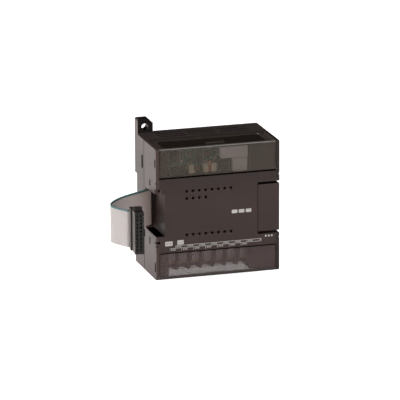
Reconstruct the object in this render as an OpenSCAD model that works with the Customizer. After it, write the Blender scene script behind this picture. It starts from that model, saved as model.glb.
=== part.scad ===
// Analogue input/output expansion module for an industrial controller.
// +X is to the right seen from the front, +Y is towards the wall or rail
// behind the module, +Z is up. The origin is the middle of the back face,
// half way between the two mounting holes. Millimetres.

/* [Housing] */
// Width of the housing, side to side
body_w = 86; // [85.6:0.2:86.4]
// Height of the housing, without the screw tabs
body_h = 90; // [89.6:0.2:90.4]
// Depth of the housing, back face to front panel
body_d = 50; // [49.8:0.1:50.4]
// Thickness of the outer walls
wall = 2.2; // [2:0.1:2.3]
// Distance of the seam between the two halves from the back face
seam = 22; // [21.6:0.2:22]
// Radius of the long front edges
edge_r = 1.4; // [1:0.1:2]
// Top edge of the front panel, from the middle
panel_top = 24.3; // [23.9:0.1:24.6]
// Bottom edge of the front panel, from the middle
panel_bot = -26.4; // [-26.6:0.1:-26]
// Thickness of the front panel
panel_t = 2; // [1.6:0.1:2.2]

/* [Mounting] */
// Width of each screw tab
tab_w = 10.6; // [10:0.2:11]
// How far each screw tab stands out of the housing
tab_out = 10.5; // [10:0.5:12]
// Thickness of each screw tab
tab_t = 7.2; // [6.5:0.1:7.5]
// Diameter of the screw holes
hole_d = 4.8; // [4.5:0.1:5]
// Sideways distance of each screw hole from the middle
hole_x = 38; // [37.5:0.5:38.5]
// Upward distance of each screw hole from the middle
hole_z = 50; // [49.5:0.5:50.5]
// Height of the mounting rail that the groove takes
rail_h = 35; // [35:0.1:35.2]
// Depth of the rail groove
rail_depth = 4.5; // [4.4:0.1:4.8]
// How far the fixed hooks and the latch reach behind the rail
hook_in = 1.3; // [1:0.1:1.5]
// Travel of the rail latch
latch_travel = 4; // [3:0.5:4]

/* [Covers] */
// Thickness of the smoked covers
cover_t = 1.5; // [1.3:0.1:1.6]
// Outer radius of the rolled hinge edge of the covers
roll_r = 2.4; // [2.3:0.1:2.4]
// Radius of the hinge pins
pin_r = 1; // [0.9:0.05:1]
// Radial play of the hinge pins in their holes
pin_play = 0.05; // [0.03:0.01:0.08]
// Depth of the recessed field on top of each cover
field_deep = 0.7; // [0.4:0.1:0.7]

/* [Terminals] */
// Number of screw terminals
cells = 7; // [7:1:7]
// Distance between neighbouring terminals
cell_pitch = 8.4; // [8.3:0.05:8.4]
// Middle of the terminal row
cell_mid = -4.3; // [-4.4:0.1:-4.2]
// Diameter of the terminal screw heads
head_d = 5.6; // [5:0.1:6]
// Thickness of the barriers between the terminals
barrier_t = 1.2; // [1:0.1:1.4]

/* [Indicators] */
// Distance between neighbouring indicator windows
dot_pitch = 4.4; // [4.3:0.1:4.4]
// Radius of the indicator windows
dot_r = 0.95; // [0.8:0.05:1]

/* [Cable] */
// Thickness of the flat cable
ribbon_t = 0.9; // [0.8:0.05:0.9]
// Distance between the conductors of the flat cable
core_pitch = 1.27; // [1.25:0.01:1.27]
// Number of conductors
cores = 20; // [20:1:20]
// Pitch of the sockets and header pins
pin_pitch = 2.54; // [2.5:0.01:2.54]
// Half the length of the cable plug
plug_hl = 14.2; // [14.1:0.1:14.4]
// Turn of the plug about its upright axis
plug_turn = -6; // [-8:1:-4]

/* [Hidden] */
$fn = 48;
hw = body_w / 2;
hh = body_h / 2;
fy = -body_d;
sy = -seam;
iw = hw - wall;              // inner face of the side walls
floor_y = rail_depth + 2;    // inner face of the back wall
hinge_y = sy - 4.1;          // hinge line of the covers
hinge_z = hh - roll_r;
cover_hw = iw - 0.4;         // half width of the covers
board_y = -40;               // front face of the upright front board
main_y = -11;                // front face of the main board
rib_hw = cores * core_pitch / 2;
cell_lo = cell_mid - cells * cell_pitch / 2;
cell_hi = cell_mid + cells * cell_pitch / 2;
head_z = -0.8;               // middle of the expansion header
head_x = 35;
lead_x = -39.2;              // where the flat cable enters the housing
plug_at = [-65.5, -88, 0];
dots = concat([for (i = [0:7]) [-21.7 + i * dot_pitch, 15]],
              [for (i = [0:3]) [-21.7 + i * dot_pitch, 10]],
              [for (i = [0:7]) [-21.7 + i * dot_pitch, -15]]);

// A point of the plug's own plan, as seen from above in the module
function at_plug(p) = [plug_at[0] + p[0] * cos(plug_turn) - p[1] * sin(plug_turn),
                       plug_at[1] + p[0] * sin(plug_turn) + p[1] * cos(plug_turn)];

// Route of the flat cable seen from above: from the socket inside the
// housing out of the side notch, round the free loop, over the plug's cap,
// round its right side and between cap and body
fold_r = 2.05;
route = concat([[-39.2, -20.5], [-39.2, -22], [-39.2, -23.6], [-39.5, -25.1],
         [-40.4, -26.4], [-42, -27.4], [-44.6, -28.8], [-48.6, -31.3],
         [-53.4, -34.2], [-58.3, -37.2], [-63.2, -40.6], [-68, -44.8],
         [-72, -49.4], [-74.6, -53.2], [-76, -56.6], [-76.4, -60],
         [-75.4, -63.4], [-73.8, -66.7], [-72, -69.9], [-70.6, -72.1]],
        [for (p = concat([[-5.4, 13.95], [-4.1, 13.55], [-2, 13.525], [0, 13.525]],
                         [for (a = [90:-45:-90]) [2 + fold_r * cos(a), 11.475 + fold_r * sin(a)]],
                         [[0, 9.425], [-2.8, 9.425]])) at_plug(p)]);

// ---------- helpers ----------

// Block between two corners
module blk(a, b) translate(a) cube(b - a);

// Flat outline in (Y, Z), extruded along X from x0 to x1
module along_x(x0, x1) translate([x0, 0, 0]) rotate([90, 0, 90]) linear_extrude(height = x1 - x0) children();

// Flat outline in (X, Z), extruded along Y from y0 to y1
module along_y(y0, y1) translate([0, y1, 0]) rotate([90, 0, 0]) linear_extrude(height = y1 - y0) children();

// Round bar along X and along Y
module bar_x(x0, x1, y, z, r) translate([x0, y, z]) rotate([0, 90, 0]) cylinder(h = x1 - x0, r = r);
module bar_y(x, y0, y1, z, r) translate([x, y1, z]) rotate([90, 0, 0]) cylinder(h = y1 - y0, r = r);

// Points of an arc from angle a to angle b
function arc(cx, cy, r, a, b, n = 6) = [for (i = [0:n]) [cx + r * cos(a + (b - a) * i / n), cy + r * sin(a + (b - a) * i / n)]];

// Rectangle with rounded corners
function round_rect(x0, y0, x1, y1, r) = concat(
    arc(x1 - r, y1 - r, r, 0, 90), arc(x0 + r, y1 - r, r, 90, 180),
    arc(x0 + r, y0 + r, r, 180, 270), arc(x1 - r, y0 + r, r, 270, 360));

// Smooth curve through a list of points
function spline(p, n) = concat([for (i = [0:len(p) - 2]) each [for (k = [0:n - 1])
    let (a = p[max(i - 1, 0)], b = p[i], c = p[i + 1], d = p[min(i + 2, len(p) - 1)], t = k / n)
    0.5 * (2 * b + (c - a) * t + (2 * a - 5 * b + 4 * c - d) * t * t + (3 * b - a - 3 * c + d) * t * t * t)]],
    [p[len(p) - 1]]);
function unit(v) = v / norm(v);
function way(p, i) = unit(p[min(i + 1, len(p) - 1)] - p[max(i - 1, 0)]);
function beside(p, off) = [for (i = [0:len(p) - 1]) let (w = way(p, i)) p[i] + off * [-w[1], w[0]]];
function turned(p) = [for (i = [len(p) - 1:-1:0]) p[i]];

// Everything on one side, repeated on the other side
module both_sides() { children(); mirror([1, 0, 0]) children(); }
module both_ends() { children(); mirror([0, 0, 1]) children(); }

// ---------- housing ----------

// One screw tab, at the upper left
module tab() difference() {
    along_y(-tab_t, 0) polygon([[-hw, hh - 3], [-hw, hh + tab_out - 0.8],
        [-hw + 0.8, hh + tab_out], [-hw + tab_w - 3, hh + tab_out],
        [-hw + tab_w, hh + tab_out - 3], [-hw + tab_w, hh - 3]]);
    bar_y(-hole_x, -tab_t - 1, 1, hole_z, hole_d / 2);
    // room of the housing behind the tab's foot
    blk([-iw, -tab_t - 1, hh - 4], [-hw + tab_w + 1, -2.2, hh - wall]);
}

module rear_case() color([0.37, 0.34, 0.33]) {
    difference() {
        union() {
            blk([-hw, sy, -hh], [hw, 0, hh]);
        }
        // shadow line along the seam
        difference() {
            blk([-hw - 1, sy - 1, -hh - 1], [hw + 1, sy + 0.9, hh + 1]);
            blk([-hw + 0.7, sy - 2, -hh + 0.7], [hw - 0.7, sy + 2, hh - 0.7]);
        }
        // main room
        blk([-iw, sy - 1, -hh + wall], [iw, -floor_y, hh - wall]);
        // pockets above and below the rail groove
        blk([-iw, -floor_y - 1, rail_h / 2 + 3.2], [iw, -2.2, hh - wall]);
        blk([-iw, -floor_y - 1, -hh + wall], [-12, -2.2, -rail_h / 2 - 3.2]);
        blk([12, -floor_y - 1, -hh + wall], [iw, -2.2, -rail_h / 2 - 3.2]);
        // rail groove, through from side to side
        blk([-hw - 1, -rail_depth, -rail_h / 2 - 0.2], [hw + 1, 1, rail_h / 2 + 0.2]);
        // stepped channel of the rail latch
        blk([-9, -rail_depth, -hh - 1], [9, -2.4, -rail_h / 2 - 4.2]);
        blk([-7, -2.6, -hh - 1], [7, 1, -rail_h / 2]);
        // air slots in the top and the bottom
        both_ends() for (y = [-8, -12.5, -17]) for (x = [[-31, -11.5], [-9.5, 10], [12, 33]])
            blk([x[0], y - 0.8, hh - wall - 1], [x[1], y + 0.8, hh + 1]);
        // windows for the snap hooks
        both_sides() both_ends() blk([iw - 1, -19.1, 24.6], [hw + 1, -15.7, 33.6]);
    }
    tab();
    mirror([0, 0, 1]) mirror([1, 0, 0]) tab();
    // two fixed hooks that hang behind the rail's upper edge
    both_sides() blk([17, -2.6, rail_h / 2 - hook_in], [33, 0, rail_h / 2 + 0.3]);
    // pillars for the main board
    both_sides() both_ends() difference() {
        bar_y(36, main_y + 1.6, -2.1, 37.5, 3.1);
        bar_y(36, main_y, -4, 37.5, 1.3);
    }
}

// Side outline of the front half, with rounded front corners
side_outline = concat([[sy, -hh], [sy, hh]], arc(fy + edge_r, hh - edge_r, edge_r, 90, 180),
    arc(fy + edge_r, -hh + edge_r, edge_r, 180, 270));

module front_case() color([0.37, 0.34, 0.33]) difference() {
    union() {
        // side walls
        both_sides() along_x(iw, hw) polygon(side_outline);
        // bars behind the two covers
        both_ends() blk([-iw - 0.5, sy - 1.4, hh - 5], [iw + 0.5, sy, hh]);
        // front panel and the two shelves that run back from its edges
        blk([-iw - 0.5, fy, panel_bot], [iw + 0.5, fy + panel_t, panel_top]);
        blk([-iw - 0.5, fy, panel_top - 2], [iw + 0.5, board_y - 0.6, panel_top]);
        blk([-iw - 0.5, fy, panel_bot], [iw + 0.5, -31, panel_bot + 2]);
        // closed blocks left and right of the upper bay
        blk([-iw - 0.5, fy + 1.8, panel_top - 1], [-33.8, fy + 3.6, hh - 1.8]);
        blk([-35.4, fy + 1.8, panel_top - 1], [-33.8, board_y - 0.3, hh - 1.8]);
        blk([-iw - 0.5, fy + 1.8, hh - 3.8], [-33.8, hinge_y - 2.9, hh - 1.8]);
        blk([22.6, fy + 1.8, panel_top - 1], [iw + 0.5, fy + 3.6, hh - 1.8]);
        blk([22.6, fy + 1.8, panel_top - 1], [24.2, board_y - 0.3, hh - 1.8]);
        blk([22.6, fy + 1.8, hh - 3.8], [iw + 0.5, hinge_y - 2.9, hh - 1.8]);
        // closed blocks left and right of the terminals
        blk([-iw - 0.5, fy + 1.8, -hh + 1.8], [cell_lo - 0.2, fy + 3.6, panel_bot + 1]);
        blk([cell_lo - 1.8, fy + 1.8, -hh + 1.8], [cell_lo - 0.2, hinge_y - 2.9, panel_bot + 1]);
        blk([-iw - 0.5, fy + 1.8, -hh + 1.8], [cell_lo - 0.2, hinge_y - 2.9, -hh + 3.8]);
        blk([cell_hi + 0.2, fy + 1.8, -hh + 1.8], [iw + 0.5, fy + 3.6, panel_bot + 1]);
        blk([cell_hi + 0.2, fy + 1.8, -hh + 1.8], [cell_hi + 1.8, hinge_y - 2.9, panel_bot + 1]);
        blk([cell_hi + 0.2, fy + 1.8, -hh + 1.8], [iw + 0.5, hinge_y - 2.9, -hh + 3.8]);
        // walls round the cable notch
        blk([-hw, fy, -16.4], [-35.6, -23.4, 15.4]);
        // walls round the expansion connector
        blk([26.3, fy, -20.2], [hw, board_y - 0.6, 18.6]);
        // snap hooks that reach into the rear half
        both_sides() both_ends() {
            blk([iw - 1.8, sy - 4, 25.6], [iw - 0.2, -17.9, 32.6]);
            blk([iw - 1, sy - 4, 25.6], [iw + 0.2, sy - 0.5, 32.6]);
            blk([iw - 0.3, -19, 25.6], [iw + 0.9, -17.9, 32.6]);
        }
    }
    // cable notch, open to the front and to the left, and its slot
    along_x(-hw - 1, -37) polygon([[fy - 1, -15], [-24.8, -15], [-24.8, 13.1], [fy - 1, 14.2]]);
    blk([lead_x - 0.9, -26, -rib_hw - 0.3], [lead_x + 0.9, sy, rib_hw + 0.3]);
    // room of the expansion connector, open to the front and to the right
    blk([27.7, fy - 1, -18.8], [hw + 1, board_y, 17.2]);
    blk([iw - 0.3, fy - 1, -18.8], [hw + 1, -38, 17.2]);
    // shadow gap behind the panel's top edge
    blk([-cover_hw, fy + 0.7, panel_top - 1.3], [cover_hw, fy + 2.2, panel_top + 1]);
    // holes of the indicator windows
    for (d = dots) bar_y(d[0], fy - 1, fy + panel_t + 1, d[1], dot_r + 0.05);
    // blind holes of the hinge pins
    both_sides() both_ends() bar_x(iw - 0.5, hw - 0.7, hinge_y, hinge_z, pin_r + pin_play);
    // snap and mould slots in the side walls
    both_sides() {
        blk([iw - 0.3, -36.9, 17], [hw + 1, -34.4, 21.3]);
        blk([iw - 0.3, -48.8, 32.2], [hw + 1, -46.4, 37.9]);
        blk([iw - 0.3, -36, -23.5], [hw + 1, -33.5, -18.7]);
        blk([iw - 0.3, -48.7, -39.7], [hw + 1, -46.3, -33.3]);
        // shallow front edge nicks
        blk([hw - 1.2, fy - 1, 21.3], [hw + 1, fy + 1.4, 22.6]);
        blk([hw - 1.8, fy - 1, -22.2], [hw + 1, fy + 1.4, -21.3]);
    }
    blk([-hw - 1, fy - 1, 13.9], [-iw + 1.2, fy + 3.2, 17.6]);
    blk([-hw - 1, fy - 1, -20], [-iw + 1, fy + 2.8, -18.3]);
    // opening in the floor of the cable notch
    blk([-hw + 1.1, fy + 2.8, -17.5], [-37.4, -25.8, -14]);
}

// Outline of a cover in (Y, Z): front pane, top pane and rolled hinge edge
cover_outline = concat(
    [[fy, panel_top + 0.7]], [[fy + cover_t, panel_top + 0.7]],
    arc(fy + cover_t + 0.5, hh - cover_t - 0.5, 0.5, 180, 90, 3),
    arc(hinge_y, hinge_z, roll_r - cover_t, 90, 10),
    arc(hinge_y, hinge_z, roll_r, 10, 90),
    arc(fy + edge_r, hh - edge_r, edge_r, 90, 180));

// Cover of the upper bay. The lower one is its mirror image, a little shorter
module cover(z_edge) {
    difference() {
        union() {
            difference() {
                along_x(-cover_hw, cover_hw) polygon(cover_outline);
                if (z_edge > panel_top + 0.7)
                    blk([-hw, fy - 1, 0], [hw, fy + cover_t + 1, z_edge]);
            }
            // hinge knuckles with their pins
            both_sides() {
                bar_x(cover_hw - 5, cover_hw, hinge_y, hinge_z, roll_r - 0.1);
                bar_x(cover_hw - 1, hw - 0.85, hinge_y, hinge_z, pin_r);
            }
        }
        // recessed field
        translate([0, 0, hh - field_deep]) linear_extrude(height = 3)
            polygon(round_rect(-37, fy + 2.3, 35.4, hinge_y - 1.6, 2));
    }
    // finger grip
    blk([-6, fy + 8, hh - field_deep - 0.3], [7, fy + 9.2, hh + 0.25]);
}

module top_cover() color([0.3, 0.27, 0.25, 0.6]) cover(panel_top + 1.1);
module bottom_cover() color([0.36, 0.3, 0.3, 0.6]) mirror([0, 0, 1]) cover(-panel_bot + 0.9);

// Lift-off lid over the expansion connector, with a side plate
module exp_cover() color([0.37, 0.34, 0.33]) {
    blk([28, fy, -17], [hw, fy + 1.6, 15.5]);
    blk([iw + 0.3, fy, -17], [hw, -38.3, 15.5]);
    // spring tongue
    blk([28.3, fy + 1, -6], [29.3, fy + 7, 4]);
}

// Sliding latch of the rail groove with its pull tab
module din_latch() color([0.2, 0.18, 0.17]) difference() {
    union() {
        blk([-6.8, -2.5, -hh - 3.6], [6.8, -0.3, -rail_h / 2 - 0.1]);
        blk([-8.8, -rail_depth + 0.15, -hh - 0.5], [8.8, -2.55, -rail_h / 2 - 4.4]);
        blk([-6.8, -2.6, -hh - 3.6], [6.8, -2.5, -rail_h / 2 - 4.4]);
        // wedge behind the rail's lower edge
        along_x(-6.8, 6.8) polygon([[-2.5, -rail_h / 2 - 3], [-2.5, -rail_h / 2 + hook_in - 0.4],
            [-2.1, -rail_h / 2 + hook_in], [-1.4, -rail_h / 2 + hook_in], [-0.3, -rail_h / 2 - 0.6],
            [-0.3, -rail_h / 2 - 3]]);
        // pull tab
        blk([-6.8, -rail_depth + 0.15, -hh - 3.6], [6.8, -0.3, -hh - 0.5]);
    }
    // slot for a screwdriver blade
    blk([-4, -rail_depth - 1, -hh - 2.7], [4, 1, -hh - 1.3]);
    // relief that leaves two spring arms
    both_sides() blk([3.4, -rail_depth - 1, -40], [4.6, 1, -26]);
}

// ---------- electronics ----------

module main_board() color([0.1, 0.32, 0.2]) difference() {
    blk([-40.4, main_y, -42.2], [40.4, main_y + 1.6, 42.2]);
    both_sides() both_ends() bar_y(36, main_y - 1, main_y + 3, 37.5, 1.6);
}

module front_board() color([0.16, 0.4, 0.27]) along_y(board_y, board_y + 1.6)
    polygon([[-35.2, -24], [40.4, -24], [40.4, 21.8], [22.2, 21.8], [22.2, 42.4],
             [-33.4, 42.4], [-33.4, 21.8], [-35.2, 21.8]]);

// Clear rods that carry the light of the indicators to the panel
module light_guides() color([0.25, 0.22, 0.2]) for (d = dots)
    bar_y(d[0], fy + 1.1, board_y - 1.2, d[1], dot_r);

module status_leds() color([0.9, 0.88, 0.75]) for (d = dots)
    blk([d[0] - 1, board_y - 1.1, d[1] - 0.6], [d[0] + 1, board_y, d[1] + 0.6]);

// Outline of a barrier in (Y, Z)
barrier_outline = [[-43, panel_bot - 0.8], [-43, -37.6], [-37.6, -42.6], [-30, -42.6], [-30, panel_bot - 0.8]];

module cell_at() for (i = [0:cells - 1]) translate([cell_lo + (i + 0.5) * cell_pitch, 0, 0]) children();

module terminal_block() color([0.25, 0.22, 0.21]) {
    difference() {
        union() {
            blk([cell_lo, -34.4, -42.6], [cell_hi, -29.4, panel_bot - 0.6]);
            blk([cell_lo, -36, -39], [cell_hi, -34, panel_bot - 0.6]);
        }
        cell_at() {
            bar_y(0, -37, -33, -33.2, 1.6);
            blk([-0.7, -37, -30.6], [0.7, -28, -29.6]);
        }
        // rounded mouths for the wires
        cell_at() bar_y(0, -35, -29.35, -44.2, 3.1);
    }
    for (i = [0:cells]) let (x = cell_lo + i * cell_pitch, a = i == 0 ? 0 : barrier_t / 2, b = i == cells ? 0 : barrier_t / 2)
        along_x(x - a, x + b) polygon(barrier_outline);
}

// Screws with a cross recess
module terminal_screws() color([0.75, 0.74, 0.72]) cell_at() difference() {
    union() {
        bar_y(0, -39.4, -37.7, -33.2, head_d / 2);
        bar_y(0, -38, -33.2, -33.2, 1.5);
    }
    blk([-1.9, -40, -33.6], [1.9, -38.5, -32.8]);
    blk([-0.4, -40, -35.1], [0.4, -38.5, -31.3]);
}

module terminal_washers() color([0.8, 0.79, 0.77]) cell_at() difference() {
    blk([-3.2, -37.6, -36.4], [3.2, -36.9, -30]);
    bar_y(0, -39, -36, -33.2, 1.55);
}

module terminal_clamps() color([0.78, 0.72, 0.55]) cell_at() {
    difference() {
        blk([-3.3, -36.8, -38.4], [3.3, -36.05, -28.6]);
        bar_y(0, -39, -35, -33.2, 1.55);
    }
    blk([-0.6, -36.4, -30.5], [0.6, main_y - 0.05, -29.7]);
}

// Header that the next module's cable plugs into
module exp_header() color([0.12, 0.11, 0.11]) translate([head_x, 0, head_z]) difference() {
    blk([-4.4, -47, -16.5], [4.4, board_y - 0.05, 16.5]);
    blk([-3.3, -48, -15.4], [3.3, -41.6, 15.4]);
    // polarising notch
    blk([-5, -48, -2.2], [-3, -42.5, 2.2]);
    for (x = [-0.5, 0.5]) for (i = [0:9]) translate([x * pin_pitch, 0, (i - 4.5) * pin_pitch])
        blk([-0.36, -44, -0.36], [0.36, -39, 0.36]);
}

module exp_header_pins() color([0.85, 0.72, 0.35]) translate([head_x, 0, head_z])
    for (x = [-0.5, 0.5]) for (i = [0:9]) translate([x * pin_pitch, 0, (i - 4.5) * pin_pitch])
        blk([-0.32, -46, -0.32], [0.32, board_y - 0.02, 0.32]);

// Tall connector between the two boards
module board_link() color([0.1, 0.1, 0.1]) difference() {
    blk([-20, -36, -2.6], [7, -13, 2.6]);
    for (z = [-0.5, 0.5]) for (i = [0:9]) translate([-17.93 + i * pin_pitch, 0, z * pin_pitch])
        blk([-0.36, -37, -0.36], [0.36, -12, 0.36]);
}

module board_link_pins() color([0.85, 0.72, 0.35])
    for (z = [-0.5, 0.5]) for (i = [0:9]) translate([-17.93 + i * pin_pitch, 0, z * pin_pitch])
        blk([-0.32, board_y + 1.62, -0.32], [0.32, main_y - 0.02, 0.32]);

// Potted supply converters in the upper bay
module converter_modules() color([0.85, 0.8, 0.78]) {
    blk([3.4, -46.8, 34.7], [21.9, board_y - 0.1, 42.5]);
    blk([12.4, -46, 24.9], [21.9, board_y - 0.1, 34.2]);
}

// Small box capacitors on the front board
module film_capacitors() color([0.8, 0.73, 0.58]) {
    for (x = [-16.6, -6.5, -0.8]) blk([x - 1.7, -44.4, 25.2], [x + 1.7, board_y - 0.1, 31.4]);
    blk([-18.4, -42.6, 36.4], [-15.6, board_y - 0.1, 39.2]);
}

module orange_capacitors() color([0.72, 0.4, 0.22]) {
    blk([-4.5, -43.4, 25.4], [-2.8, board_y - 0.1, 32.6]);
    bar_y(-4.6, -42.6, board_y - 0.1, 37.6, 1.6);
    blk([-12.5, -41.8, 27], [-10.2, board_y - 0.1, 28.6]);
}

module electrolytic_capacitors() color([0.2, 0.22, 0.3]) {
    for (x = [14, 25]) bar_y(x, -27, main_y - 0.1, 32, 4);
    bar_y(-28, -25, main_y - 0.1, 30, 5);
    bar_y(18, -24, main_y - 0.1, -12, 4);
}

module ic_chips() color([0.1, 0.1, 0.1]) {
    blk([-30, -42, 33.4], [-24.6, board_y - 0.1, 41.4]);
    blk([-29.6, -41.8, 25.4], [-21, board_y - 0.1, 30]);
    blk([-12.4, -41.8, 32], [-8, board_y - 0.1, 41]);
    blk([4, -41.8, 25.6], [10.2, board_y - 0.1, 31.6]);
    blk([-18, -13.6, 12], [-4, main_y - 0.1, 26]);
    blk([2, -13.6, 14], [10, main_y - 0.1, 24]);
    blk([-22, -13.6, -24], [-12, main_y - 0.1, -14]);
    blk([-4, -13.6, -24], [8, main_y - 0.1, -12]);
}

module board_screws() color([0.7, 0.69, 0.67]) both_sides() both_ends() difference() {
    union() {
        bar_y(36, main_y - 2, main_y - 0.05, 37.5, 2.7);
        bar_y(36, main_y - 1, -5, 37.5, 1.25);
    }
    blk([34.2, main_y - 3, 37.1], [37.8, main_y - 1.1, 37.9]);
    blk([35.6, main_y - 3, 35.7], [36.4, main_y - 1.1, 39.3]);
}

// ---------- flat cable ----------

module ribbon_socket() color([0.12, 0.12, 0.12]) difference() {
    blk([lead_x - 1.5, -21.9, -15], [lead_x + 1.7, main_y - 0.05, 15]);
    blk([lead_x - 0.55, -23, -rib_hw - 0.1], [lead_x + 0.55, -20, rib_hw + 0.1]);
}

ribbon_line = spline(route, 3);
ribbon_outline = concat(beside(ribbon_line, ribbon_t / 2), turned(beside(ribbon_line, -ribbon_t / 2)));

module ribbon_cable() color([0.72, 0.69, 0.68])
    translate([0, 0, -rib_hw]) linear_extrude(height = (cores - 1) * core_pitch) polygon(ribbon_outline);

module ribbon_edge_core() color([0.2, 0.5, 0.5])
    translate([0, 0, rib_hw - core_pitch]) linear_extrude(height = core_pitch) polygon(ribbon_outline);

// Places the pieces of the plug. Inside, the mating face is at y = 0 and
// looks along -Y
module on_plug() translate(plug_at) rotate([0, 0, plug_turn]) children();
module sockets() for (x = [-0.5, 0.5]) for (i = [0:9]) translate([x * pin_pitch, 0, (i - 4.5) * pin_pitch]) children();

module plug_body() color([0.2, 0.18, 0.18]) on_plug() difference() {
    union() {
        blk([-3.05, 0, -plug_hl], [3.05, 8.9, plug_hl]);
        // polarising key
        blk([3, 0, -2.1], [3.95, 7, 2.1]);
    }
    sockets() {
        blk([-0.5, -1, -0.5], [0.5, 10, 0.5]);
        blk([-0.8, -1, -0.8], [0.8, 0.6, 0.8]);
    }
    // grip grooves along both long sides
    for (y = [1.8, 4.2, 6.6]) {
        blk([-4, y, -12.8], [-2.7, y + 0.8, 12.8]);
        blk([2.7, y, 3.4], [4, y + 0.8, 12.8]);
        blk([2.7, y, -12.8], [4, y + 0.8, -3.4]);
    }
}

module plug_contacts() color([0.85, 0.72, 0.35]) on_plug() sockets() {
    blk([-0.49, 2.2, -0.4], [-0.25, 8.8, 0.4]);
    blk([0.25, 2.2, -0.4], [0.49, 8.8, 0.4]);
}

// Cap that presses the cable onto the contacts, with clips at both ends
module plug_cover() color([0.24, 0.22, 0.22]) on_plug() {
    blk([-4.1, 9.95, -plug_hl], [2, 13, plug_hl]);
    both_ends() {
        blk([-2, 9.95, plug_hl - 0.2], [2, 13, plug_hl + 0.7]);
        blk([-2, 5.5, plug_hl + 0.05], [2, 11, plug_hl + 0.7]);
    }
}

// Strain relief over the cap: a bar with a foot at each end of the cable
module plug_clamp() color([0.16, 0.15, 0.15]) on_plug() {
    blk([-4, 14.1, -plug_hl + 0.2], [4.4, 16.4, plug_hl - 0.2]);
    both_ends() blk([-4, 13.05, rib_hw + 0.25], [2, 14.2, plug_hl - 0.2]);
}

// ---------- assembly ----------

rear_case();
front_case();
top_cover();
bottom_cover();
exp_cover();
din_latch();
main_board();
front_board();
light_guides();
status_leds();
terminal_block();
terminal_screws();
terminal_washers();
terminal_clamps();
exp_header();
exp_header_pins();
board_link();
board_link_pins();
converter_modules();
film_capacitors();
orange_capacitors();
electrolytic_capacitors();
ic_chips();
board_screws();
ribbon_socket();
ribbon_cable();
ribbon_edge_core();
plug_body();
plug_cover();
plug_clamp();
plug_contacts();
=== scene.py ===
"""Looks of the controller expansion module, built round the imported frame. Helpers take millimetres; Blender is in metres."""
import math
import random

import bmesh
import bpy
from mathutils import Matrix, Vector


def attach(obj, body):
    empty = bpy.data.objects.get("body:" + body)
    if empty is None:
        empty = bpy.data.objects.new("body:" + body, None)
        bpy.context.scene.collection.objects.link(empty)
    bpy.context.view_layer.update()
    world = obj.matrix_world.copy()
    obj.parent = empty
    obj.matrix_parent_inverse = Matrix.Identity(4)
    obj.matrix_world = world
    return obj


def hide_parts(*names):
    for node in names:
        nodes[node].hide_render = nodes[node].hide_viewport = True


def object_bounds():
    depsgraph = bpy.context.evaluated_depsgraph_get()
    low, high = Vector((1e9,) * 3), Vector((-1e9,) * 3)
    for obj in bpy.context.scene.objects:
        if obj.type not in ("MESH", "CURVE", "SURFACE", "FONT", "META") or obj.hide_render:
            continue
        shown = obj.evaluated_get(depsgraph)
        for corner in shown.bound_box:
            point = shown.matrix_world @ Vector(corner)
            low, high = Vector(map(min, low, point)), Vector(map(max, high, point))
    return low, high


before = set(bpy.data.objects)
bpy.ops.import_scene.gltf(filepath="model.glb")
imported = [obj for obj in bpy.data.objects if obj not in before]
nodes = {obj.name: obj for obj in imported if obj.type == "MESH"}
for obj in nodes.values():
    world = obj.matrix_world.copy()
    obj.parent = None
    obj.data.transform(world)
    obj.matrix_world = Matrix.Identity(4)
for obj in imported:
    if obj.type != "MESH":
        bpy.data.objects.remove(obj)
cad_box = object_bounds()
MM = 0.001

# ---------------------------------------------------------------- camera
cam = bpy.data.objects.new("camera", bpy.data.cameras.new("camera"))
bpy.context.scene.collection.objects.link(cam)
right = Vector((0.95646046, -0.29184158, -0.00344723))
up = Vector((0.08097788, 0.25400657, 0.96380664))
back = Vector((-0.28040324, -0.92212209, 0.26657996))
view = Matrix((right, up, back)).transposed().to_4x4()
view.translation = Vector((-0.76736895, -2.53231164, 0.72593696))
cam.matrix_world = view
cam.data.sensor_width = 36
cam.data.lens = 364.18
cam.data.clip_start = 0.1
cam.data.clip_end = 20
bpy.context.scene.camera = cam
bpy.context.scene.view_settings.view_transform = "Standard"
bpy.context.scene.view_settings.look = "None"


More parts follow.
